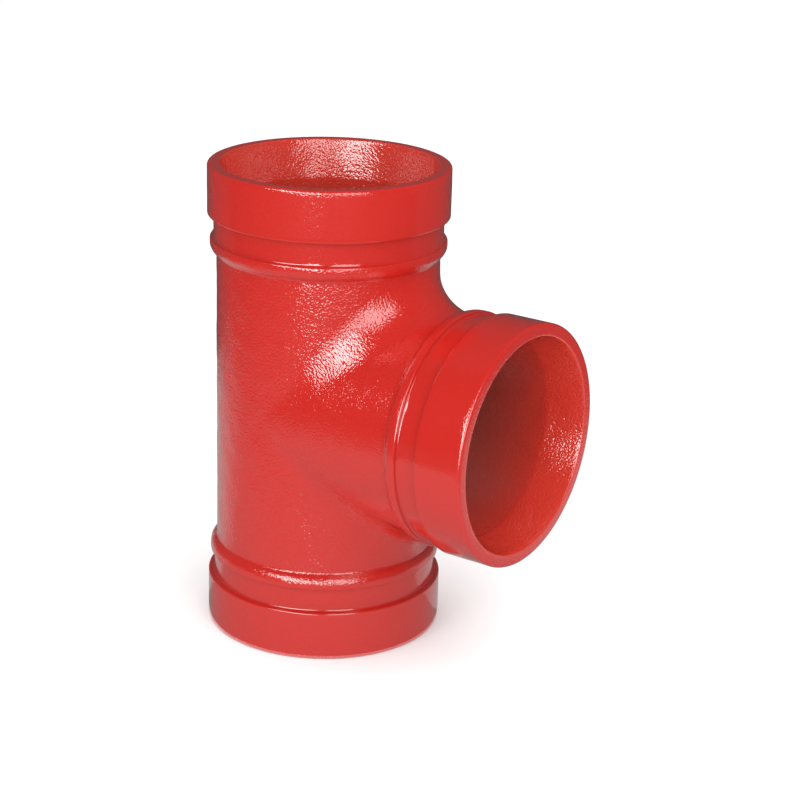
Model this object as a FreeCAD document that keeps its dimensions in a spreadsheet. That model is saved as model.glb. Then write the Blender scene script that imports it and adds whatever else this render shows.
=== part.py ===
import FreeCAD, Part
import math
import os
import Sketcher

# Grooved equal tee, cast in one piece: a straight run with a branch at right angles.
# Each of the three ends is a gasket shoulder, a key groove and a crowned collar, made for a
# two-piece grooved coupling. The waterway inside flares to a wider mouth at each end.
# The tee is drawn about the crossing of its two axes, run along Z and branch along +X, and its
# placement then stands it on the lower end of the run.

doc = FreeCAD.newDocument("GroovedTee")

# Driving sizes, in millimetres
sizes = doc.addObject("Spreadsheet::Sheet", "Sizes")
SIZE_ROWS = [
    ("pipe_diameter", 76.1, "outside of the shoulders, the same as the pipe they line up with"),
    ("centre_to_end", 76.0, "from the crossing of the axes to each end face"),
    ("shoulder_length", 15.9, "gasket seat, from the end face to the groove"),
    ("groove_width", 7.6, "key groove, wall to wall"),
    ("groove_depth", 1.95, "from the pipe diameter down to the groove floor, on the radius"),
    ("collar_inset", 0.75, "crest of the collar below the pipe diameter, on the radius"),
    ("collar_length", 4.8, "collar along the axis, from the groove wall to the body"),
    ("collar_crown", 3.5, "radius of the collar's rounded back"),
    ("collar_root", 1.0, "hollow where the collar's back meets the body"),
    ("body_inset", 2.85, "body below the pipe diameter, on the radius"),
    ("branch_step", 0.2, "branch smaller than the run, inside and out, on the radius"),
    ("crotch_radius", 16.0, "outer blend between the run and the branch"),
    ("mouth_wall", 4.0, "wall at the end face"),
    ("mouth_depth", 12.5, "length of the flared mouth, from the end face in to the waterway"),
    ("body_wall", 3.4, "wall of the body"),
    ("inner_crotch_radius", 2.5, "blend where the two waterways meet"),
    ("rim_rounding", 0.9, "outer edge of the end faces"),
    ("mouth_break", 0.5, "inner edge of the end faces"),
    ("shoulder_edge", 0.4, "edge of the shoulder at the groove"),
    ("collar_edge", 0.5, "edge of the collar at the groove"),
    ("groove_corner", 0.5, "hollow corners of the groove floor"),
    ("mouth_blend", 4.0, "rounding where the flared mouth meets the waterway"),
]
for row, (alias, size, meaning) in enumerate(SIZE_ROWS, start=1):
    sizes.set(f"A{row}", meaning)
    sizes.set(f"B{row}", str(size))
    sizes.setAlias(f"B{row}", alias)
doc.recompute()

# Radii and stations along an axis that several features share, as expressions over the sheet
PIPE = "Sizes.pipe_diameter / 2"
GROOVE_FLOOR = f"{PIPE} - Sizes.groove_depth"
COLLAR = f"{PIPE} - Sizes.collar_inset"
BODY = f"{PIPE} - Sizes.body_inset"
BRANCH_BODY = f"{BODY} - Sizes.branch_step"
MOUTH = f"{PIPE} - Sizes.mouth_wall"
WATERWAY = f"{BODY} - Sizes.body_wall"
BRANCH_WATERWAY = f"{WATERWAY} - Sizes.branch_step"
FACE = "Sizes.centre_to_end"
SHOULDER_BACK = f"{FACE} - Sizes.shoulder_length"
COLLAR_FRONT = f"{SHOULDER_BACK} - Sizes.groove_width"
COLLAR_BACK = f"{COLLAR_FRONT} - Sizes.collar_length"
MOUTH_BOTTOM = f"{FACE} - Sizes.mouth_depth"
ON_AXIS = "0"
FIT = 1e-3


def read(expression):
    """The present value of an expression over the sheet."""
    return float(sizes.evalExpression(expression))


def add_sketch(body, name, plane):
    """An empty sketch on one of the body's own origin planes."""
    sketch = body.newObject("Sketcher::SketchObject", name)
    origin_plane = next(item for item in body.Origin.OriginFeatures if item.Role == plane)
    sketch.AttachmentSupport = [(origin_plane, "")]
    sketch.MapMode = "FlatFace"
    return sketch


def origin_axis(body, role):
    return next(item for item in body.Origin.OriginFeatures if item.Role == role)


def fix_corner(sketch, edge, end, corner, number):
    """Holds one end of an edge at the corner's two expressions, or on an axis where one is zero."""
    kinds = (("DistanceX", "across", -2), ("DistanceY", "up", -1))
    for (kind, word, axis), term in zip(kinds, corner):
        if term == ON_AXIS:
            sketch.addConstraint(Sketcher.Constraint("PointOnObject", edge, end, axis))
            continue
        name = f"{word}_{number}"
        index = sketch.addConstraint(Sketcher.Constraint(kind, -1, 1, edge, end, read(term)))
        sketch.renameConstraint(index, name)
        sketch.setExpression(f".Constraints.{name}", term)


def arc_between(start, stop, radius):
    """An arc of the radius from start to stop, bulging away from the run's axis."""
    chord = stop - start
    outward = FreeCAD.Vector(abs(chord.y), -math.copysign(chord.x, chord.y), 0).normalize()
    rise = radius - math.sqrt(radius**2 - (chord.Length / 2) ** 2)
    return Part.Arc(start, (start + stop) / 2 + outward * rise, stop)


def draw_outline(sketch, corners, arcs=None):
    """A closed outline through the corners; arcs gives a radius for the side after a corner."""
    arcs = arcs or {}
    points = [FreeCAD.Vector(read(across), read(up), 0) for across, up in corners]
    count = len(points)
    ends = []
    for side in range(count):
        start, stop = points[side], points[(side + 1) % count]
        if side in arcs:
            edge = sketch.addGeometry(arc_between(start, stop, read(arcs[side])))
            radius = sketch.addConstraint(Sketcher.Constraint("Radius", edge, read(arcs[side])))
            sketch.renameConstraint(radius, f"arc_{side}")
            sketch.setExpression(f".Constraints.arc_{side}", arcs[side])
        else:
            edge = sketch.addGeometry(Part.LineSegment(start, stop))
        near_first = (sketch.getPoint(edge, 1) - start).Length < (sketch.getPoint(edge, 2) - start).Length
        ends.append((edge, 1, 2) if near_first else (edge, 2, 1))
    for side in range(count):
        edge, first, last = ends[side]
        next_edge, next_first, _ = ends[(side + 1) % count]
        sketch.addConstraint(Sketcher.Constraint("Coincident", edge, last, next_edge, next_first))
        fix_corner(sketch, edge, first, corners[side], side)


def flip(corners):
    """The same outline with its two directions swapped, for the branch instead of the run."""
    return [(up, across) for across, up in corners]


def revolve(body, kind, name, sketch, axis):
    feature = body.newObject(kind, name)
    feature.Profile = sketch
    feature.ReferenceAxis = (sketch, [axis])
    feature.Angle = 360
    doc.recompute()
    return feature


def pick_edges(shape, wanted):
    return [f"Edge{number}" for number, edge in enumerate(shape.Edges, start=1) if wanted(edge)]


def is_round(edge):
    return edge.Curve.TypeId == "Part::GeomCircle"


def end_circles(*pairs, reach="0"):
    """Picks circles by radius and by station along an axis, at or up to a reach past the station."""
    values = [(read(radius), read(station)) for radius, station in pairs]
    past = read(reach)

    def wanted(edge):
        if not is_round(edge):
            return False
        found = edge.Curve.Center.Length
        return any(
            abs(edge.Curve.Radius - radius) < FIT and station - FIT < found < station + past + FIT
            for radius, station in values
        )

    return wanted


def crossing_of(run_radius, branch_radius):
    """Picks the seam of two crossing cylinders, one on the run's axis and one on the branch's."""
    run, branch = read(run_radius), read(branch_radius)

    def wanted(edge):
        if is_round(edge) or edge.Curve.TypeId == "Part::GeomLine":
            return False
        point = edge.valueAt((edge.FirstParameter + edge.LastParameter) / 2)
        off_run = abs(math.hypot(point.x, point.y) - run)
        off_branch = abs(math.hypot(point.y, point.z) - branch)
        return max(off_run, off_branch) < FIT

    return wanted


def dress(body, kind, name, base, wanted, property_name, expression):
    """A fillet or chamfer on the picked edges of the feature before it."""
    feature = body.newObject(kind, name)
    feature.Base = (base, pick_edges(base.Shape, wanted))
    feature.setExpression(property_name, expression)
    doc.recompute()
    return feature


body = doc.addObject("PartDesign::Body", "TeeBody")
body.Label = "tee_body"

# Body of the run: a round bar through the crossing, to be bored later
run_sketch = add_sketch(body, "RunSection", "XY_Plane")
run_sketch.addGeometry(Part.Circle(FreeCAD.Vector(), FreeCAD.Vector(0, 0, 1), read(BODY)))
run_sketch.addConstraint(Sketcher.Constraint("Coincident", 0, 3, -1, 1))
run_sketch.addConstraint(Sketcher.Constraint("Radius", 0, read(BODY)))
run_sketch.renameConstraint(1, "body_radius")
run_sketch.setExpression(".Constraints.body_radius", BODY)
run_bar = body.newObject("PartDesign::Pad", "RunBar")
run_bar.Profile = run_sketch
run_bar.SideType = "Symmetric"
run_bar.setExpression("Length", f"2 * ({SHOULDER_BACK})")
doc.recompute()

# Body of the branch: a slightly smaller bar, so that the crotch blend runs out smoothly at the
# sides of the tee instead of ending in two points
branch_sketch = add_sketch(body, "BranchSection", "YZ_Plane")
branch_sketch.addGeometry(Part.Circle(FreeCAD.Vector(), FreeCAD.Vector(0, 0, 1), read(BRANCH_BODY)))
branch_sketch.addConstraint(Sketcher.Constraint("Coincident", 0, 3, -1, 1))
branch_sketch.addConstraint(Sketcher.Constraint("Radius", 0, read(BRANCH_BODY)))
branch_sketch.renameConstraint(1, "branch_radius")
branch_sketch.setExpression(".Constraints.branch_radius", BRANCH_BODY)
branch_bar = body.newObject("PartDesign::Pad", "BranchBar")
branch_bar.Profile = branch_sketch
branch_bar.setExpression("Length", SHOULDER_BACK)
doc.recompute()

# Outer crotch: the blend that carries the run into the branch
crotch = dress(
    body, "PartDesign::Fillet", "OuterCrotch", branch_bar,
    crossing_of(BODY, BRANCH_BODY), "Radius", "Sizes.crotch_radius",
)

# End blank: the collar, and the shoulder up to the end face. The collar's crest is level from the
# groove wall, then rounds off and falls to the skin of the branch.
COLLAR_HEIGHT = "(Sizes.body_inset + Sizes.branch_step - Sizes.collar_inset)"
CREST_BACK = (
    f"{COLLAR_BACK} + sqrt(Sizes.collar_crown^2 - (Sizes.collar_crown - {COLLAR_HEIGHT})^2)"
)
END_BLANK = [
    (ON_AXIS, COLLAR_BACK),
    (BRANCH_BODY, COLLAR_BACK),
    (COLLAR, CREST_BACK),
    (COLLAR, COLLAR_FRONT),
    (PIPE, COLLAR_FRONT),
    (PIPE, FACE),
    (ON_AXIS, FACE),
]
CROWN_SIDE = 1
blank_sketch = add_sketch(body, "EndBlankOutline", "XZ_Plane")
draw_outline(blank_sketch, END_BLANK, {CROWN_SIDE: "Sizes.collar_crown"})
end_blank = revolve(body, "PartDesign::Revolution", "EndBlank", blank_sketch, "V_Axis")

# Key groove behind the shoulder, cut from outside the pipe diameter
KEY_GROOVE = [
    (GROOVE_FLOOR, COLLAR_FRONT),
    (GROOVE_FLOOR, SHOULDER_BACK),
    (f"{PIPE} + Sizes.groove_depth", SHOULDER_BACK),
    (f"{PIPE} + Sizes.groove_depth", COLLAR_FRONT),
]
groove_sketch = add_sketch(body, "KeyGrooveOutline", "XZ_Plane")
draw_outline(groove_sketch, KEY_GROOVE)
key_groove = revolve(body, "PartDesign::Groove", "KeyGroove", groove_sketch, "V_Axis")

# The same end three times, a quarter turn apart about Y: up the run, out on the branch, down
END_COUNT = 3
ends = body.newObject("PartDesign::PolarPattern", "ThreeEnds")
ends.Originals = [end_blank, key_groove]
ends.Axis = (origin_axis(body, "Y_Axis"), [""])
ends.Angle = 180
ends.Occurrences = END_COUNT
body.Tip = ends
doc.recompute()


def bore_outline(waterway):
    """Half of a bore from the crossing to one end: the straight waterway, then the flare."""
    return [
        (ON_AXIS, ON_AXIS),
        (waterway, ON_AXIS),
        (waterway, MOUTH_BOTTOM),
        (MOUTH, FACE),
        (ON_AXIS, FACE),
    ]


# Waterway of the run, bored for the upper half and mirrored for the lower
run_bore_sketch = add_sketch(body, "RunBoreOutline", "XZ_Plane")
draw_outline(run_bore_sketch, bore_outline(WATERWAY))
run_bore = revolve(body, "PartDesign::Groove", "RunBore", run_bore_sketch, "V_Axis")
lower_bore = body.newObject("PartDesign::Mirrored", "LowerRunBore")
lower_bore.Originals = [run_bore]
lower_bore.MirrorPlane = (origin_axis(body, "XY_Plane"), [""])
body.Tip = lower_bore
doc.recompute()

# Waterway of the branch, into the run's
branch_bore_sketch = add_sketch(body, "BranchBoreOutline", "XZ_Plane")
draw_outline(branch_bore_sketch, flip(bore_outline(BRANCH_WATERWAY)))
branch_bore = revolve(body, "PartDesign::Groove", "BranchBore", branch_bore_sketch, "H_Axis")
body.Tip = branch_bore

# Edges: the collars' roots, the waterways' crossing, the flares, the rims and the groove edges
collar_roots = dress(
    body, "PartDesign::Fillet", "CollarRoots", branch_bore,
    end_circles((BODY, COLLAR_BACK), (BRANCH_BODY, COLLAR_BACK), reach="Sizes.collar_length / 2"),
    "Radius", "Sizes.collar_root",
)
inner_crotch = dress(
    body, "PartDesign::Fillet", "InnerCrotch", collar_roots,
    crossing_of(WATERWAY, BRANCH_WATERWAY), "Radius", "Sizes.inner_crotch_radius",
)
flares = dress(
    body, "PartDesign::Fillet", "MouthFlares", inner_crotch,
    end_circles((WATERWAY, MOUTH_BOTTOM), (BRANCH_WATERWAY, MOUTH_BOTTOM)),
    "Radius", "Sizes.mouth_blend",
)
outer_rims = dress(
    body, "PartDesign::Fillet", "OuterRims", flares,
    end_circles((PIPE, FACE)), "Radius", "Sizes.rim_rounding",
)
inner_rims = dress(
    body, "PartDesign::Chamfer", "InnerRims", outer_rims,
    end_circles((MOUTH, FACE)), "Size", "Sizes.mouth_break",
)
shoulder_edges = dress(
    body, "PartDesign::Fillet", "ShoulderEdges", inner_rims,
    end_circles((PIPE, SHOULDER_BACK)), "Radius", "Sizes.shoulder_edge",
)
groove_corners = dress(
    body, "PartDesign::Fillet", "GrooveCorners", shoulder_edges,
    end_circles((GROOVE_FLOOR, SHOULDER_BACK), (GROOVE_FLOOR, COLLAR_FRONT)),
    "Radius", "Sizes.groove_corner",
)
collar_edges = dress(
    body, "PartDesign::Fillet", "CollarEdges", groove_corners,
    end_circles((COLLAR, COLLAR_FRONT)), "Radius", "Sizes.collar_edge",
)
body.Tip = collar_edges

# Stand the tee on the lower end of its run
body.setExpression(".Placement.Base.z", "Sizes.centre_to_end")
doc.recompute()

# Every feature has to be sound before anything is written
for item in doc.Objects:
    if {"Invalid", "Error"} & set(item.State):
        raise RuntimeError(f"{item.Name} did not build: {item.State}")
if body.Shape.isNull() or not body.Shape.isValid() or len(body.Shape.Solids) != 1:
    raise RuntimeError(f"{body.Label} is not one sound solid")

os.makedirs("parts", exist_ok=True)
body.Shape.exportStep(f"parts/{body.Label}.step")
print(body.Label, round(body.Shape.Volume), "mm3 of iron")
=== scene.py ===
import math

import bmesh
import bpy
import numpy as np
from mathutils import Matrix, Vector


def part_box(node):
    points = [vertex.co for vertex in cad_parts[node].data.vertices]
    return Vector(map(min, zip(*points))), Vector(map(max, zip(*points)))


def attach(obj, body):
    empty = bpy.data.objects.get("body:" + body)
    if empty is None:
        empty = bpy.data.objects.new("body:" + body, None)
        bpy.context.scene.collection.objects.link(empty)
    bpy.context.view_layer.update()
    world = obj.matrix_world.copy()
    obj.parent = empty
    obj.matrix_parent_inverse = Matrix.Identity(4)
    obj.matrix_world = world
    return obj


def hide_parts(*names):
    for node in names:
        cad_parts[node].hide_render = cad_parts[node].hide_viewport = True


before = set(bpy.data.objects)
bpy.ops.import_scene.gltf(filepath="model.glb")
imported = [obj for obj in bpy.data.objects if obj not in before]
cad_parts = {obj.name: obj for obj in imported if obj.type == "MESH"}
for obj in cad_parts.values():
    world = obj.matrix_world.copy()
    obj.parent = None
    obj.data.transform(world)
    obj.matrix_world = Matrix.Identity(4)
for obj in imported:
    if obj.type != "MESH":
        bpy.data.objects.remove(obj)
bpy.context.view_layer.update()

# The tee itself, one ductile iron casting: a straight run, a branch and three grooved ends.
# It is poured in a sand mould, its shoulders and grooves are formed to size, and the whole
# is coated in gloss red paint, through which the grain of the sand still shows.
MM = 0.001
low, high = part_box("tee_body")
PIPE_R = (high.y - low.y) / 2 / MM
REACH = high.x / MM
CENTRE_Z = (low.z + high.z) / 2 / MM

SHOULDER_LENGTH = 15.9
GROOVE_WIDTH = 7.6
GROOVE_DEPTH = 1.95
COLLAR_LENGTH = 4.8
COLLAR_INSET = 0.75
BODY_INSET = 2.85
CROWN_SINK = 0.2
BODY_WALL = 3.4
MOUTH_WALL = 4.0
MOUTH_DEPTH = 12.5

COLLAR_FRONT = SHOULDER_LENGTH + GROOVE_WIDTH
COLLAR_BACK = COLLAR_FRONT + COLLAR_LENGTH
FLOOR_R = PIPE_R - GROOVE_DEPTH
CREST_R = PIPE_R - COLLAR_INSET
BODY_R = PIPE_R - BODY_INSET
MOUTH_R = PIPE_R - MOUTH_WALL
WATERWAY_R = BODY_R - BODY_WALL

CROTCH_R = 16.0
INNER_CROTCH_R = 2.5
CROWN_R = 3.5
COLLAR_ROOT_R = 1.0
RIM_R = 0.9
MOUTH_EDGE_R = 0.45
SHOULDER_EDGE_R = 0.4
COLLAR_EDGE_R = 0.5
GROOVE_CORNER_R = 0.5
MOUTH_BLEND_R = 4.0

AROUND = 104
BODY_STEPS = 84
WATERWAY_STEPS = 60
STATION_STEP = 1.25
LEAST_RISE = 1
NEGLIGIBLE = 1e-6
TINY = 1e-9


def rounded_path(corners, radii, arc_steps):
    """A path through the corners, each but the first and last replaced by an arc.

    Where the path turns by an angle a, the arc of radius r starts r * tan(a / 2) before the
    corner; its points are that start swung about the arc's centre in equal parts of a."""
    sides = np.diff(corners, axis=0)
    along = sides / np.linalg.norm(sides, axis=1, keepdims=True)
    before, after = along[:-1], along[1:]
    turn = np.arctan2(
        before[:, 0] * after[:, 1] - before[:, 1] * after[:, 0], (before * after).sum(1)
    )
    start = corners[1:-1] - before * (radii * np.tan(np.abs(turn) / 2))[:, None]
    inward = np.stack([-before[:, 1], before[:, 0]], 1) * np.sign(turn)[:, None]
    centre = start + inward * radii[:, None]
    spoke = start - centre
    arcs = []
    for steps, middle, (a, b), whole in zip(arc_steps, centre, spoke, turn):
        swing = whole * np.linspace(0, 1, steps + 1)
        cos_s, sin_s = np.cos(swing), np.sin(swing)
        arcs.append(middle + np.stack([cos_s * a - sin_s * b, sin_s * a + cos_s * b], 1))
    return np.concatenate([corners[:1], *arcs, corners[-1:]])


def with_stations(path, step):
    """The path with each side divided into equal parts no longer than the step."""
    sides = np.diff(path, axis=0)
    counts = np.maximum(1, np.ceil(np.linalg.norm(sides, axis=1) / step)).astype(int)
    parts = [
        corner + side * np.linspace(0, 1, count, endpoint=False)[:, None]
        for corner, side, count in zip(path, sides, counts)
    ]
    return np.concatenate([*parts, path[-1:]])


# The collar's crown and its hollow root are two arcs that touch. Left to run on, the crown would
# be CROWN_SINK under the body's skin at the back of the collar. That gives the place of its
# crest, and from it the two corners that the arcs round.
crown_drop = CREST_R - BODY_R + CROWN_SINK
crest_back = COLLAR_BACK - math.sqrt(CROWN_R**2 - (CROWN_R - crown_drop) ** 2)
crown_turn = math.acos(1 - (CREST_R - BODY_R) / (CROWN_R + COLLAR_ROOT_R))
crown_corner = crest_back + CROWN_R * math.tan(crown_turn / 2)
root_corner = crown_corner + (CREST_R - BODY_R) / math.tan(crown_turn)
BODY_START = root_corner + COLLAR_ROOT_R * math.tan(crown_turn / 2)
flare_turn = math.atan2(MOUTH_R - WATERWAY_R, MOUTH_DEPTH)
WATERWAY_START = MOUTH_DEPTH + MOUTH_BLEND_R * math.tan(flare_turn / 2)

# One end in section: from the body over the collar, the groove and the shoulder, round the rim,
# and in through the flared mouth to the waterway. Each corner has its distance from the end
# face and its radius on the pipe, then the radius of the arc that rounds it and the arc's steps.
# The first OUTSIDE points of the path are the outside, up to where the end face's flat begins.
end_section = np.array([
    (BODY_START, BODY_R, 0, 0),
    (root_corner, BODY_R, COLLAR_ROOT_R, 4),
    (crown_corner, CREST_R, CROWN_R, 7),
    (COLLAR_FRONT, CREST_R, COLLAR_EDGE_R, 4),
    (COLLAR_FRONT, FLOOR_R, GROOVE_CORNER_R, 3),
    (SHOULDER_LENGTH, FLOOR_R, GROOVE_CORNER_R, 3),
    (SHOULDER_LENGTH, PIPE_R, SHOULDER_EDGE_R, 3),
    (0, PIPE_R, RIM_R, 5),
    (0, MOUTH_R, MOUTH_EDGE_R, 4),
    (MOUTH_DEPTH, WATERWAY_R, MOUTH_BLEND_R, 2),
    (WATERWAY_START, WATERWAY_R, 0, 0),
])
end_path = rounded_path(
    end_section[:, :2], end_section[1:-1, 2], end_section[1:-1, 3].astype(int)
)
apart = np.linalg.norm(np.diff(end_path, axis=0), axis=1) > NEGLIGIBLE
end_path = with_stations(end_path[np.append(True, apart)], STATION_STEP)
OUTSIDE = int(np.argmax(end_path[:, 0] < TINY)) + 1


def crotch_wall(angle, tube_r, blend_r, reach, steps):
    """The skin from the run, over the crotch, to the branch: points (angle, step), x, y, z from
    the crossing of the axes.

    A ball of radius r rolls in the crotch of two tubes of radius R. At an angle t round the run
    its centre is ((R+r)cos t, (R+r)sin t, (R+r)cos t); it touches the run at (R cos t, R sin t,
    (R+r)cos t), and the branch at that point with x and z swapped. The skin follows the run's
    straight line down to the touch, the ball's great arc between the two touches, and the
    branch's straight line out again, in steps of equal length. Where a touch lies past the
    reach, the arc is cut off there and has no straight line before it."""
    cos_t, sin_t = np.cos(angle)[:, None], np.sin(angle)[:, None]
    centre = (tube_r + blend_r) * cos_t
    opening = np.arccos(np.clip(sin_t**2, -1, 1))
    gap = np.maximum(np.sin(opening), TINY)
    past = np.clip((centre - reach) / (blend_r * np.maximum(cos_t, TINY)), 0, 1)
    cut = np.arcsin(np.clip(past * np.sin(opening), 0, 1))
    straight = np.maximum(reach - centre, 0)
    bow = blend_r * (opening - 2 * cut)
    total = 2 * straight + bow
    way = total * np.linspace(0, 1, steps + 1)
    swing = cut + np.clip((way - straight) / blend_r, 0, opening - 2 * cut)
    shut = opening < NEGLIGIBLE
    to_run = np.where(shut, 0.5, np.sin(opening - swing) / gap)
    to_branch = np.where(shut, 0.5, np.sin(swing) / gap)
    blend = np.stack([
        centre - blend_r * cos_t * to_run,
        (tube_r + blend_r) * sin_t - blend_r * sin_t * (to_run + to_branch),
        centre - blend_r * cos_t * to_branch,
    ], -1)
    skin_x, skin_y = tube_r * cos_t + 0 * way, tube_r * sin_t + 0 * way
    run = np.stack([skin_x, skin_y, reach - way], -1)
    branch = np.stack([reach - total + way, skin_y, skin_x], -1)
    wall = np.where((way < straight)[..., None], run, blend)
    return np.where((way > straight + bow)[..., None], branch, wall)


def end_wall(angle, azimuth, lift, foot):
    """The end section swung round the run's axis, points (angle, section). Outside, the columns
    stand at the azimuth that the crotch's skin arrives at, and the section is raised towards the
    body by the height that the skin has there, which grows with the square of the distance past
    the foot of the crotch blend."""
    rise = (end_path[:OUTSIDE, 0] - foot[:, None]) / (BODY_START - foot)[:, None]
    radius = end_path[:, 1] + 0 * angle[:, None]
    radius[:, :OUTSIDE] += lift[:, None] * np.clip(rise, 0, 1) ** 2
    turned = angle[:, None] + 0 * radius
    turned[:, :OUTSIDE] = azimuth[:, None]
    height = REACH - end_path[:, 0] + 0 * radius
    return np.stack([radius * np.cos(turned), radius * np.sin(turned), height], -1)


def closed_loop(outer, far_end, inner, near_end):
    """Columns along the wall: out over the outside, round the far end, back through the inside
    and round the near end. Each part ends where the next begins, so its last point is left out."""
    return np.concatenate(
        [outer[:, :-1], far_end[:, :-1], inner[:, ::-1][:, :-1], near_end[:, ::-1][:, :-1]], 1
    )


# The upper half of the crotch side, whose branch end is the run's end with x and z swapped, and
# the same mirrored down.
angle = np.linspace(-math.pi / 2, math.pi / 2, AROUND + 1)
outer = crotch_wall(angle, BODY_R, CROTCH_R, REACH - BODY_START, BODY_STEPS)
inner = crotch_wall(angle, WATERWAY_R, INNER_CROTCH_R, REACH - WATERWAY_START, WATERWAY_STEPS)
arrival = np.arctan2(outer[:, 0, 1], outer[:, 0, 0])
lift = np.hypot(outer[:, 0, 0], outer[:, 0, 1]) - BODY_R
foot = np.minimum(REACH - (BODY_R + CROTCH_R) * np.cos(angle), BODY_START - LEAST_RISE)
front_end = end_wall(angle, arrival, lift, foot)
upper = closed_loop(outer, front_end[..., ::-1], inner, front_end)
lower = upper * (1, 1, -1)

# The back, which is plain tube from the upper end to the lower.
angle = np.linspace(math.pi / 2, 3 * math.pi / 2, AROUND + 1)
round_run = np.stack([np.cos(angle), np.sin(angle)], 1)[:, None]


def tube(radius, reach, steps):
    """Straight lines along the run at a radius, from reach above the branch to reach below."""
    height = reach * np.linspace(1, -1, steps + 1)[None, :, None]
    height = np.broadcast_to(height, (AROUND + 1, steps + 1, 1))
    return np.concatenate([np.repeat(radius * round_run, steps + 1, 1), height], 2)


back_end = end_wall(angle, angle, 0 * angle, 0 * angle)
back = closed_loop(
    tube(BODY_R, REACH - BODY_START, BODY_STEPS),
    back_end * (1, 1, -1),
    tube(WATERWAY_R, REACH - WATERWAY_START, WATERWAY_STEPS),
    back_end,
)

# How much of the sand's grain the skin has: all of it on the body, less on the shoulder and the
# groove's floor, which are formed to size, and none in their corners, where the paint gathers.
# The inside starts past the flat of the end face, which has FACE_POINTS more points.
CALM_CORNERS = np.array([
    (COLLAR_FRONT, FLOOR_R), (SHOULDER_LENGTH, FLOOR_R), (SHOULDER_LENGTH, PIPE_R)
])
CALM_TO, GRAINY_FROM = 0.39, 1.69
FORMED_FROM, FORMED_TO = 1.5, COLLAR_FRONT + 0.5
FORMED_GRAIN = 0.38
FACE_POINTS = 2
from_corner = np.linalg.norm(end_path[:, None] - CALM_CORNERS, axis=2).min(1)
end_grain = np.interp(from_corner, (CALM_TO, GRAINY_FROM), (0, 1))
from_face = end_path[:OUTSIDE, 0]
formed = (from_face > FORMED_FROM) & (from_face < FORMED_TO)
end_grain[:OUTSIDE] *= np.where(formed, FORMED_GRAIN, 1)
end_inside = (np.arange(len(end_path)) > OUTSIDE + FACE_POINTS).astype(float)


def along_column(on_body, on_end, in_waterway):
    """A value for each point of a column: one for the body, one for the waterway, and a value
    for each point of the end's section."""
    return closed_loop(
        np.full((1, BODY_STEPS + 1), on_body), on_end[None],
        np.full((1, WATERWAY_STEPS + 1), in_waterway), on_end[None],
    ).ravel()


# The three parts are one skin: their faces are laid out by column, and the points that they
# share along the sides of the tee become one.
columns, ring = upper.shape[:2]
corner = np.arange((columns - 1) * ring).reshape(columns - 1, ring)
next_corner = np.roll(corner, -1, 1)
quads = np.stack([corner, corner + ring, next_corner + ring, next_corner], -1).reshape(-1, 4)
points = np.concatenate([part.reshape(-1, 3) for part in (upper, lower, back)])
faces = np.concatenate([quads + part * columns * ring for part in range(3)])
tee_mesh = bpy.data.meshes.new("grooved_tee")
tee_mesh.from_pydata((points + (0, 0, CENTRE_Z)) * MM, [], faces.tolist())

# Two things that the paint follows: the grain, which is weaker out along the branch, and painted
# light and shade inside, a lighter red in the mouths and a darker, duller red deeper in the
# waterways.
BRANCH_FROM, BRANCH_TO = 22, 38
BRANCH_LOSS = 0.35
# Painted light and shade in the bore: lighter in the mouths, darker and duller deeper in, where
# less light reaches.
SHADE_FROM, SHADE_TO = 12, 44
LIT_MOUTH_LEVEL = 0.25
inside = np.tile(along_column(0.0, end_inside, 1.0), 3 * columns)
way_in = REACH - np.maximum(np.abs(points[:, 2]), points[:, 0])
painted_bore_shading = inside * np.interp(way_in, (SHADE_FROM, SHADE_TO), (LIT_MOUTH_LEVEL, 1))
loss = (1 - inside) * np.interp(points[:, 0], (BRANCH_FROM, BRANCH_TO), (0, BRANCH_LOSS))
grain = np.tile(along_column(1.0, end_grain, 1.0), 3 * columns) * (1 - loss)
for name, values in (("grain", grain), ("painted_bore_shading", painted_bore_shading)):
    tee_mesh.attributes.new(name, "FLOAT", "POINT").data.foreach_set(
        "value", values.astype(np.float32)
    )
skin = bmesh.new()
skin.from_mesh(tee_mesh)
bmesh.ops.remove_doubles(skin, verts=skin.verts, dist=NEGLIGIBLE)
bmesh.ops.recalc_face_normals(skin, faces=skin.faces)
skin.to_mesh(tee_mesh)
skin.free()

# The mould's own unevenness, long and shallow: 48 waves of seeded direction and phase, 4.5 to
# 11 mm long, are added up and laid along the skin's normals. The end faces stay flat.
WAVE_COUNT = 48
WAVE_LENGTHS = (4.5, 11.0)
UNEVENNESS = 0.035
FACE_CALM = 2
WAVE_SEED = 7
count = len(tee_mesh.vertices)
place, normal = np.empty(count * 3), np.empty(count * 3)
tee_mesh.vertices.foreach_get("co", place)
tee_mesh.vertices.foreach_get("normal", normal)
place, normal = place.reshape(-1, 3), normal.reshape(-1, 3)
grain_here = np.empty(count, np.float32)
tee_mesh.attributes["grain"].data.foreach_get("value", grain_here)
rng = np.random.default_rng(WAVE_SEED)
heading = rng.normal(size=(WAVE_COUNT, 3))
heading /= np.linalg.norm(heading, axis=1, keepdims=True)
wave = heading * (2 * math.pi / rng.uniform(*WAVE_LENGTHS, WAVE_COUNT))[:, None]
phase = rng.uniform(0, 2 * math.pi, WAVE_COUNT)
swell = np.cos(place / MM @ wave.T + phase).sum(1) * math.sqrt(2 / WAVE_COUNT)
from_end = REACH - np.maximum(np.abs(place[:, 2] / MM - CENTRE_Z), place[:, 0] / MM)
swell *= grain_here * np.clip(from_end / FACE_CALM, 0, 1)
place += normal * (UNEVENNESS * MM * swell)[:, None]
tee_mesh.vertices.foreach_set("co", place.ravel())
tee_mesh.shade_smooth()
tee = bpy.data.objects.new("grooved_tee", tee_mesh)
bpy.context.scene.collection.objects.link(tee)
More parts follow.
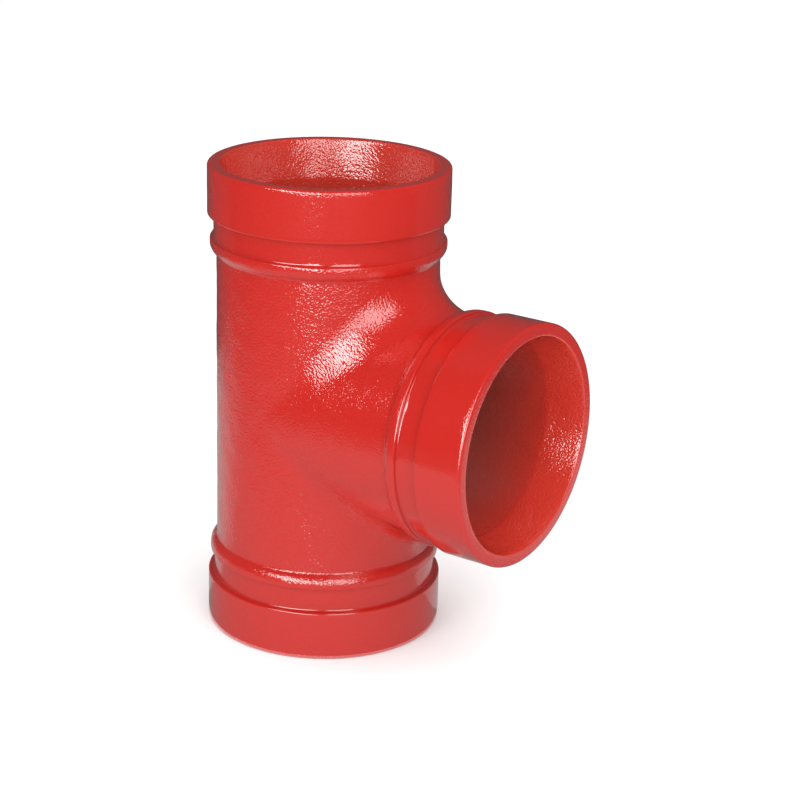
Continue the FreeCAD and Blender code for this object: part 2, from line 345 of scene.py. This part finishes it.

# The gloss red paint. Inside, painted light makes it a lighter red in the mouths and painted shade
# a darker, duller red deeper in the waterways. Its skin shows the sand: low domes under a
# millimetre wide, with creases between, and finer noise.
# The first red is the paint's own; the lighter mouth red is painted light, and the dark, dull
# waterway red is painted shade.
PAINT_RED = (0.45, 0.0138, 0.0090, 1)
LIT_MOUTH_RED = (0.54, 0.033, 0.020, 1)
SHADED_WATERWAY_RED = (0.31, 0.066, 0.052, 1)
PAINT_ROUGHNESS = 0.12
COAT_IOR = 2.2
COAT_ROUGHNESS = 0.075
GRAIN_SCALE = 1400
GRAIN_HEIGHT = 0.00009
paint = bpy.data.materials.new("red_paint")
paint.use_nodes = True
nodes, links = paint.node_tree.nodes, paint.node_tree.links
shader = nodes["Principled BSDF"]
shader.inputs["Roughness"].default_value = PAINT_ROUGHNESS
shader.inputs["Coat Weight"].default_value = 1.0
shader.inputs["Coat IOR"].default_value = COAT_IOR
shader.inputs["Coat Roughness"].default_value = COAT_ROUGHNESS
depth = nodes.new("ShaderNodeAttribute")
depth.attribute_name = "painted_bore_shading"
# The ramp lays painted light over the mouths and painted shade over the waterways.
bore_shading_ramp = nodes.new("ShaderNodeValToRGB")
bore_shading_ramp.color_ramp.elements[0].color = PAINT_RED
bore_shading_ramp.color_ramp.elements[1].color = SHADED_WATERWAY_RED
bore_shading_ramp.color_ramp.elements.new(LIT_MOUTH_LEVEL).color = LIT_MOUTH_RED
links.new(depth.outputs["Fac"], bore_shading_ramp.inputs["Fac"])
links.new(bore_shading_ramp.outputs["Color"], shader.inputs["Base Color"])
coords = nodes.new("ShaderNodeTexCoord")
noise = nodes.new("ShaderNodeTexNoise")
noise.inputs["Scale"].default_value = GRAIN_SCALE
noise.inputs["Detail"].default_value = 2.0
pebbles = nodes.new("ShaderNodeTexVoronoi")
pebbles.inputs["Scale"].default_value = GRAIN_SCALE
links.new(coords.outputs["Object"], noise.inputs["Vector"])
links.new(coords.outputs["Object"], pebbles.inputs["Vector"])
dome = nodes.new("ShaderNodeMath")
dome.operation = "MULTIPLY"
links.new(pebbles.outputs["Distance"], dome.inputs[0])
links.new(pebbles.outputs["Distance"], dome.inputs[1])
skin_height = nodes.new("ShaderNodeMath")
skin_height.operation = "SUBTRACT"
links.new(noise.outputs["Fac"], skin_height.inputs[0])
links.new(dome.outputs[0], skin_height.inputs[1])
mask = nodes.new("ShaderNodeAttribute")
mask.attribute_name = "grain"
height = nodes.new("ShaderNodeMath")
height.operation = "MULTIPLY"
links.new(skin_height.outputs[0], height.inputs[0])
links.new(mask.outputs["Fac"], height.inputs[1])
bump = nodes.new("ShaderNodeBump")
bump.inputs["Strength"].default_value = 1.0
bump.inputs["Distance"].default_value = GRAIN_HEIGHT
links.new(height.outputs[0], bump.inputs["Height"])
links.new(bump.outputs["Normal"], shader.inputs["Normal"])
links.new(bump.outputs["Normal"], shader.inputs["Coat Normal"])
tee_mesh.materials.append(paint)
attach(tee, "root")
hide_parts("tee_body")

# The table that the tee stands on, a sheet of plain white board. It is wide enough that its
# edge lies out of sight, and it is matt, so that it keeps only the tee's soft shadow.
TABLE_HALF = 3.0
WHITE_BOARD = (0.94, 0.94, 0.94, 1)
table_corners = TABLE_HALF * np.array([(-1, -1, 0), (1, -1, 0), (1, 1, 0), (-1, 1, 0)])
table_mesh = bpy.data.meshes.new("table_top")
table_mesh.from_pydata(table_corners, [], [(0, 1, 2, 3)])
table = bpy.data.objects.new("table_top", table_mesh)
bpy.context.scene.collection.objects.link(table)
board = bpy.data.materials.new("white_board")
board.use_nodes = True
shader = board.node_tree.nodes["Principled BSDF"]
shader.inputs["Base Color"].default_value = WHITE_BOARD
shader.inputs["Roughness"].default_value = 1.0
shader.inputs["Specular IOR Level"].default_value = 0.0
table_mesh.materials.append(board)

# The dark room round the white table, seen only as a reflection in the paint, so that the camera
# can go round the tee against plain white: two cards on the floor round the tee's foot, grey in
# front and pale behind, and beyond them drapes on the floor, the round wall and the ceiling.
FOOT_R = 0.0385
CARD_R = 0.27
ROOM_R = 2.6
CEILING_HOLE_R = 0.01
OFF_TABLE = 0.001
ROOM_COLUMNS = 64
BEHIND = slice(6, 36)

# Each cloth's name and how bright the paint sees it, then the cloth of each stretch of the
# room's section, from the tee's foot out, up and back over the ceiling. BEHIND is the columns
# of the room behind the tee, counted from the branch's side.
# Each cloth glows at its level and lights nothing: it is a painted reflection, seen only in the
# paint's gloss.
CLOTHS = (("grey_card", 0.18), ("dark_drape", 0.012), ("pale_card", 0.36), ("back_drape", 0.045))
CLOTH_COLOUR = (0.02, 0.02, 0.02, 1)
FRONT_CLOTHS = (0, 1, 1, 1)
BACK_CLOTHS = (2, 3, 3, 3)
room_section = np.array([
    (FOOT_R, OFF_TABLE), (CARD_R, OFF_TABLE), (ROOM_R, OFF_TABLE), (ROOM_R, ROOM_R),
    (CEILING_HOLE_R, ROOM_R),
])
room_turn = np.linspace(0, 2 * math.pi, ROOM_COLUMNS + 1)[:, None]
room_points = np.stack([
    room_section[:, 0] * np.cos(room_turn), room_section[:, 0] * np.sin(room_turn),
    room_section[:, 1] + 0 * room_turn,
], -1)
stations = len(room_section)
first = np.arange(ROOM_COLUMNS)[:, None] * stations + np.arange(stations - 1)
room_faces = first.reshape(-1, 1) + (0, 1, stations + 1, stations)
room_mesh = bpy.data.meshes.new("dark_room")
room_mesh.from_pydata(room_points.reshape(-1, 3), [], room_faces.tolist())
cloth_of_face = np.tile(FRONT_CLOTHS, (ROOM_COLUMNS, 1))
cloth_of_face[BEHIND] = BACK_CLOTHS
room_mesh.polygons.foreach_set("material_index", cloth_of_face.ravel())
room = bpy.data.objects.new("dark_room", room_mesh)
bpy.context.scene.collection.objects.link(room)
room.visible_camera = room.visible_diffuse = room.visible_transmission = False
room.visible_shadow = room.visible_volume_scatter = False
for name, level in CLOTHS:
    cloth = bpy.data.materials.new(name)
    cloth.use_nodes = True
    shader = cloth.node_tree.nodes["Principled BSDF"]
    shader.inputs["Base Color"].default_value = CLOTH_COLOUR
    shader.inputs["Roughness"].default_value = 1.0
    shader.inputs["Emission Color"].default_value = (1, 1, 1, 1)
    shader.inputs["Emission Strength"].default_value = level
    room_mesh.materials.append(cloth)

# The light: an even white from all round, two soft lamps in front, which the paint mirrors, and
# a wide one from the branch's side and above, which lights the paint but isn't mirrored in it.
world = bpy.data.worlds.new("studio")
bpy.context.scene.world = world
world.use_nodes = True
background = world.node_tree.nodes["Background"]
background.inputs["Color"].default_value = (1, 1, 1, 1)
background.inputs["Strength"].default_value = 1.0
AIM = (0.01, 0, 0.085)
LAMP_AWAY = 1.2


def soft_lamp(name, azimuth, elevation, lean, wide, tall, radiance, mirrored=True):
    """A rectangular lamp that faces the tee, at an azimuth from the front towards the branch and
    an elevation, its top leaning to the left; it looks wide by tall degrees from the tee. A sheet
    of area A that shines evenly with radiance L gives pi * A * L watts."""
    a, e = math.radians(azimuth), math.radians(elevation)
    back_way = np.array([math.sin(a) * math.cos(e), -math.cos(a) * math.cos(e), math.sin(e)])
    lamp = bpy.data.lights.new(name, "AREA")
    lamp.shape = "RECTANGLE"
    lamp.size = 2 * LAMP_AWAY * math.tan(math.radians(wide / 2))
    lamp.size_y = 2 * LAMP_AWAY * math.tan(math.radians(tall / 2))
    lamp.energy = math.pi * lamp.size * lamp.size_y * radiance
    side = np.cross((0, 0, 1), back_way)
    side /= np.linalg.norm(side)
    up = np.cross(back_way, side)
    t = math.radians(lean)
    turn = np.eye(4)
    turn[:3, 0] = math.cos(t) * side + math.sin(t) * up
    turn[:3, 1] = math.cos(t) * up - math.sin(t) * side
    turn[:3, 2] = back_way
    turn[:3, 3] = np.array(AIM) + back_way * LAMP_AWAY
    holder = bpy.data.objects.new(name, lamp)
    # Blender fills its matrix from an array column by column
    holder.matrix_world = turn.T
    holder.visible_glossy = mirrored
    bpy.context.scene.collection.objects.link(holder)


soft_lamp("front_lamp", 7, 18, lean=50, wide=18, tall=56, radiance=4.9)
soft_lamp("side_lamp", 53, 20, lean=0, wide=26, tall=44, radiance=2.0)
soft_lamp("top_lamp", 85, 50, lean=0, wide=60, tall=60, radiance=1.2, mirrored=False)

# The camera, at the photograph's place, with the photograph's frame: FOCAL_PIXELS is the focal
# length in pixels of a picture 800 pixels wide.
CAMERA_AT = (0.376187, -0.507289, 0.297445)
AZIMUTH, ELEVATION, ROLL = map(math.radians, (34.41, 19.45, -1.57))
FOCAL_PIXELS = 2076.94
PICTURE_PIXELS = 800
SENSOR_WIDTH = 36
behind = np.array([
    math.sin(AZIMUTH) * math.cos(ELEVATION), -math.cos(AZIMUTH) * math.cos(ELEVATION),
    math.sin(ELEVATION),
])
right = np.cross(-behind, (0, 0, 1))
right /= np.linalg.norm(right)
down = np.cross(-behind, right)
camera_data = bpy.data.cameras.new("camera")
camera_data.sensor_width = SENSOR_WIDTH
camera_data.lens = FOCAL_PIXELS / PICTURE_PIXELS * SENSOR_WIDTH
camera = bpy.data.objects.new("camera", camera_data)
turn = np.eye(4)
turn[:3, 0] = math.cos(ROLL) * right + math.sin(ROLL) * down
turn[:3, 1] = math.sin(ROLL) * right - math.cos(ROLL) * down
turn[:3, 2] = behind
turn[:3, 3] = CAMERA_AT
camera.matrix_world = turn.T
bpy.context.scene.collection.objects.link(camera)
bpy.context.scene.camera = camera
bpy.context.scene.view_settings.view_transform = "Standard"
